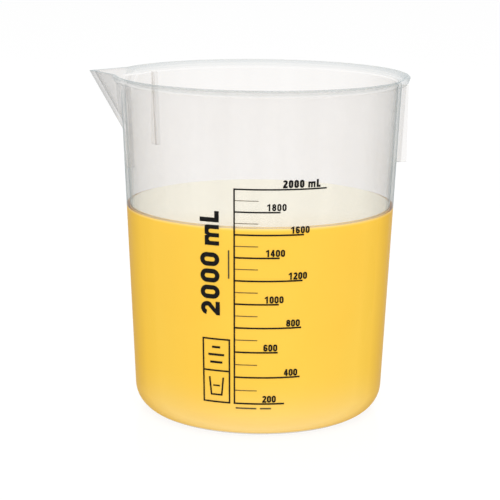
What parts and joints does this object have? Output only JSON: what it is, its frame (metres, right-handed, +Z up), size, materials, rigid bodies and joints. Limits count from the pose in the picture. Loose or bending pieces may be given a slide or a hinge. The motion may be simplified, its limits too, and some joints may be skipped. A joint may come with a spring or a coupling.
{
  "type": "graduated beaker",
  "caption": "Tapered translucent plastic beaker with a flared rim, V-shaped pouring spout, stacking ribs, a printed volume scale and a fill of yellow liquid.",
  "frame": {"origin": "centre of the flat underside of the base", "axes": "+Z up along the vessel's axis; the spout points to -X and the printed scale faces -Y"},
  "size_m": [0.1752, 0.1614, 0.186],
  "materials": {
    "translucent_plastic": "translucent, natural, slightly frosted",
    "yellow_liquid": "wet",
    "black_ink": "flat screen-print ink",
    "thin_ink": "flat screen-print ink, lighter where the print is thin"
  },
  "bodies": {
    "root": {"beaker_body": "translucent_plastic", "liquid": "yellow_liquid", "scale_lines": "black_ink", "half_ticks": "thin_ink", "scale_numerals": "black_ink", "unit_mark": "black_ink", "capacity_mark": "black_ink", "panel_frame": "black_ink", "panel_symbols": "black_ink", "note_bar": "thin_ink"}
  },
  "joints": []
}
